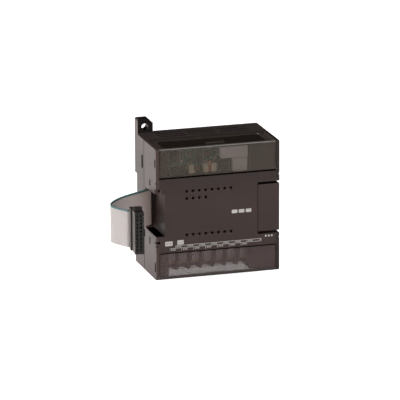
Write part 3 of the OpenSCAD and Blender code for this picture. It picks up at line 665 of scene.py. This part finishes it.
def soic(x0, z0, x1, z1, y_top, along="x", pitch=1.27, y=BY):
    """Gull-wing leads along two sides of a chip that spans x0..x1, z0..z1."""
    if along == "x":
        n = int((x1 - x0 - 0.5) / pitch) + 1
        s = (x0 + x1) / 2 - (n - 1) * pitch / 2
        for i in range(n):
            c = s + i * pitch
            for zc, d in ((z0, -1), (z1, 1)):
                a, b_, e = zc - 0.05 * d, zc + 0.35 * d, zc + 0.95 * d
                legs.box((c - 0.2, y_top, min(a, b_)), (c + 0.2, y_top + 0.18, max(a, b_)))
                legs.box((c - 0.2, y_top, min(b_, b_ + 0.18 * d)), (c + 0.2, y - 0.02, max(b_, b_ + 0.18 * d)))
                legs.box((c - 0.2, y - 0.2, min(b_, e)), (c + 0.2, y - 0.02, max(b_, e)))
    else:
        n = int((z1 - z0 - 0.5) / pitch) + 1
        s = (z0 + z1) / 2 - (n - 1) * pitch / 2
        for i in range(n):
            c = s + i * pitch
            for xc, d in ((x0, -1), (x1, 1)):
                a, b_, e = xc - 0.05 * d, xc + 0.35 * d, xc + 0.95 * d
                legs.box((min(a, b_), y_top, c - 0.2), (max(a, b_), y_top + 0.18, c + 0.2))
                legs.box((min(b_, b_ + 0.18 * d), y_top, c - 0.2), (max(b_, b_ + 0.18 * d), y - 0.02, c + 0.2))
                legs.box((min(b_, e), y - 0.2, c - 0.2), (max(b_, e), y - 0.02, c + 0.2))


soic(-30, 33.4, -24.6, 41.4, -41.0, "z")
soic(-29.6, 25.4, -21, 30, -41.0, "x")
soic(-12.4, 32, -8, 41, -41.0, "z")
soic(4, 25.6, 10.2, 31.6, -41.0, "z")
legs.done("chip_legs", [M["tin"]], "housing", bevel=0.05, segments=1)

pads = Build()
joints = Build()


def pad(x, z, r=0.75, y=BY, drill=True):
    pads.lathe((x, y - 0.03, z), (0, 1, 0), [(0, r), (0.03, r)], 16)
    if drill:
        joints.lathe((x, y - 0.03, z), (0, -1, 0), [(0, r * 0.82), (0.12, r * 0.62), (0.28, r * 0.36), (0.42, r * 0.24), (0.5, 0.06)], 12)


through = []
for cx in (-16.6, -6.5, -0.8):
    through += [(cx - 0.9, 24.9), (cx + 0.9, 31.9)]
for cx, cz in ((-19.3, 37.8), (-14.8, 37.8), (-6.8, 35.0), (-2.4, 40.7), (11.2, 26.4), (11.2, 28.9), (11.2, 31.4), (11.2, 33.6),
               (-31.8, 26.4), (-31.8, 28.9), (-31.8, 31.4), (-31.8, 33.9), (-31.8, 36.4), (-31.8, 38.9),
               (-22.6, 31.8), (-20.2, 31.8), (2.2, 33.4), (2.2, 36.1), (2.2, 38.8), (2.2, 41.3)):
    through.append((cx, cz))
for cx, cz in through:
    pad(cx, cz)
pads.done("board_pads", [M["tin"]], "housing")
joints.done("solder_joints", [M["tin"]], "housing")

smd = Build()
ends = Build()


def smd_part(x, z, w, h, along, t=0.55, y=BY):
    """Small surface part with metal end caps."""
    e = 0.22 * (w if along == "x" else h)
    smd.box((x - w / 2 + (e if along == "x" else 0), y - t, z - h / 2 + (e if along == "z" else 0)),
            (x + w / 2 - (e if along == "x" else 0), y - 0.03, z + h / 2 - (e if along == "z" else 0)), rnd.choice((0, 0, 1)))
    for s in (-1, 1):
        if along == "x":
            a, b_ = sorted((x + s * w / 2, x + s * (w / 2 - e)))
            ends.box((a, y - t - 0.03, z - h / 2 - 0.02), (b_, y - 0.02, z + h / 2 + 0.02))
        else:
            a, b_ = sorted((z + s * h / 2, z + s * (h / 2 - e)))
            ends.box((x - w / 2 - 0.02, y - t - 0.03, a), (x + w / 2 + 0.02, y - 0.02, b_))


for i in range(6):
    smd_part(-19.0 + 0.0, 25.6 + i * 1.0, 1.6, 0.8, "x")
for i in range(5):
    smd_part(-12.1 + i * 1.35, 30.2, 0.8, 1.6, "z")
for i in range(5):
    smd_part(-22.4, 33.6 + i * 1.7, 2.0, 1.2, "x")
for i in range(4):
    smd_part(-10.0 + i * 0.0, 25.4 + 0.0 * i, 1.6, 0.8, "x")
for i in range(4):
    smd_part(0.6, 33.6 + i * 1.9, 1.6, 0.9, "x")
for x, z in ((5.2, 33.2), (8.2, 33.2), (-2.0, 34.3), (-13.6, 25.2), (-13.6, 26.5), (3.0, 25.3), (-5.0, 41.4)):
    smd_part(x, z, 1.6, 0.8, "x")
smd.done("smd_bodies", [M["chip"], M["beige"]], "housing", bevel=0.06, segments=1)
ends.done("smd_ends", [M["tin"]], "housing", bevel=0.05, segments=1)

copper = Build()


def trace(points, w=0.28, y=BY):
    for a, c in zip(points, points[1:]):
        strip(copper, a, c, w, y, t=0.018)


for i in range(9):
    z = 24.6 + i * 0.55
    trace([(-33.0, 42.0 - i * 0.5), (-31.0 + i * 0.4, 42.0 - i * 0.5 - 0.0), (-23.4 + i * 0.45, 32.6 - i * 0.1), (-19.8 + i * 0.3, 32.3)])
for i in range(7):
    trace([(-20.6 + i * 0.62, 42.0), (-20.6 + i * 0.62, 40.2 - i * 0.3), (-14.8 + i * 0.5, 34.2 - i * 0.2), (-13.9 + i * 0.3, 24.6)])
for i in range(6):
    trace([(-7.4 + i * 0.7, 42.0), (-7.4 + i * 0.7, 41.0), (1.2 + i * 0.25, 33.4 - i * 0.4), (11.0, 33.4 - i * 0.55)])
for i in range(5):
    trace([(3.0, 34.0 - i * 0.0 + i * 0.1), (2.4 + i * 0.3, 33.0), (2.4 + i * 0.3, 24.6)], 0.22)
copper.prism(round_outline(12.0, 24.5, 21.9, 42.2, 0.6), BY - 0.016, BY)
copper.done("board_traces", [M["copper"]], "housing")

silk = Build()


def frame_box(x0, z0, x1, z1, w=0.16):
    for a, c in (((x0, z0), (x1, z0)), ((x1, z0), (x1, z1)), ((x1, z1), (x0, z1)), ((x0, z1), (x0, z0))):
        strip(silk, a, c, w, BY, t=0.024)


for cx in (-16.6, -6.5, -0.8):
    frame_box(cx - 2.05, 24.8, cx + 2.05, 31.8)
frame_box(-31.3, 32.9, -23.3, 41.9)
frame_box(-30.4, 24.1, -20.2, 31.2)
frame_box(-13.7, 31.4, -6.7, 41.6)
frame_box(2.7, 25.0, 11.6, 32.2)
silk.done("board_print", [M["silk"]], "housing")

# ---------------------------------------------------------------- floor, world and lamps
floor_z = cad_box[0].z - 0.0006
bm = bmesh.new()
bmesh.ops.create_grid(bm, x_segments=1, y_segments=1, size=3.0)
fm = bpy.data.meshes.new("floor")
bm.to_mesh(fm)
bm.free()
floor = bpy.data.objects.new("floor", fm)
floor.location = (0, 0, floor_z)
bpy.context.scene.collection.objects.link(floor)
m, nt, p, nn, ln = tree("floor")
p.inputs["Base Color"].default_value = (0.82, 0.82, 0.82, 1)
p.inputs["Roughness"].default_value = 0.9
p.inputs["Specular IOR Level"].default_value = 0.0
ln.new(ramp(nt, noise(nt, coords(nt), 8, 2), [(0.3, (0.80, 0.80, 0.80)), (0.7, (0.83, 0.83, 0.83))]), p.inputs["Base Color"])
glow = nn.new("ShaderNodeEmission")
glow.inputs["Strength"].default_value = 0.95
rays = nn.new("ShaderNodeLightPath")
both = nn.new("ShaderNodeAddShader")
shown = nn.new("ShaderNodeMixShader")
sees = nn.new("ShaderNodeMath")
sees.operation = "MAXIMUM"
behind = nn.new("ShaderNodeSeparateXYZ")
ln.new(coords(nt), behind.inputs["Vector"])
rear = nn.new("ShaderNodeMath")
rear.operation = "MULTIPLY"
ln.new(rng(nt, behind.outputs["Y"], 0.0, 1.0, -0.04, 0.06), rear.inputs[0])
ln.new(rays.outputs["Is Glossy Ray"], rear.inputs[1])
ln.new(rays.outputs["Is Camera Ray"], sees.inputs[0])
ln.new(rear.outputs["Value"], sees.inputs[1])
ln.new(sees.outputs["Value"], shown.inputs["Fac"])
ln.new(p.outputs["BSDF"], both.inputs[0])
ln.new(glow.outputs["Emission"], both.inputs[1])
ln.new(p.outputs["BSDF"], shown.inputs[1])
ln.new(both.outputs["Shader"], shown.inputs[2])
ln.new(shown.outputs["Shader"], nn["Material Output"].inputs["Surface"])
fm.materials.append(m)

world = bpy.data.worlds.new("world")
bpy.context.scene.world = world
world.use_nodes = True
wt = world.node_tree
wn, wl = wt.nodes, wt.links
for n in list(wn):
    wn.remove(n)
wo = wn.new("ShaderNodeOutputWorld")
seen = wn.new("ShaderNodeBackground")
seen.inputs["Color"].default_value = (1, 1, 1, 1)
seen.inputs["Strength"].default_value = 1.0
lit = wn.new("ShaderNodeBackground")
lit.inputs["Color"].default_value = (1, 0.985, 0.97, 1)
lit.inputs["Strength"].default_value = 0.13
path = wn.new("ShaderNodeLightPath")
wm = wn.new("ShaderNodeMixShader")
wl.new(path.outputs["Is Camera Ray"], wm.inputs["Fac"])
# the studio behind the object is darker than the front of it, as the object's top mirrors it
way = wn.new("ShaderNodeTexCoord")
split = wn.new("ShaderNodeSeparateXYZ")
wl.new(way.outputs["Generated"], split.inputs["Vector"])
dark = wn.new("ShaderNodeMath")
dark.operation = "MULTIPLY"
wl.new(rng(wt, split.outputs["Y"], 0.0, 1.0, -0.1, 0.3), dark.inputs[0])
wl.new(path.outputs["Is Glossy Ray"], dark.inputs[1])
wl.new(rng(wt, dark.outputs["Value"], 0.13, 0.030, 0.0, 1.0), lit.inputs["Strength"])
wl.new(lit.outputs["Background"], wm.inputs[1])
wl.new(seen.outputs["Background"], wm.inputs[2])
wl.new(wm.outputs["Shader"], wo.inputs["Surface"])


def lamp(name, place, size, size_y, power, target=(0, -0.02, 0), colour=(1, 0.99, 0.98)):
    d = bpy.data.lights.new(name, "AREA")
    d.shape = "RECTANGLE"
    d.size, d.size_y = size, size_y
    d.energy = power
    d.color = colour
    o = bpy.data.objects.new(name, d)
    o.location = place
    o.rotation_euler = (Vector(target) - Vector(place)).to_track_quat("-Z", "Y").to_euler()
    bpy.context.scene.collection.objects.link(o)
    return o


lamp("key_left", (-1.3, -0.16, 0.12), 0.8, 0.8, 29)
lamp("front_fill", (0.25, -1.5, 0.25), 1.0, 0.8, 4.9)
lamp("cable_fill", (0.75, -1.0, 0.1), 0.5, 0.5, 1.9, target=(-0.06, -0.04, 0))
lamp("overhead", (0.27, -0.34, 0.88), 0.3, 0.5, 2.2)
lamp("right_fill", (1.2, 0.5, 0.1), 0.6, 0.6, 3)
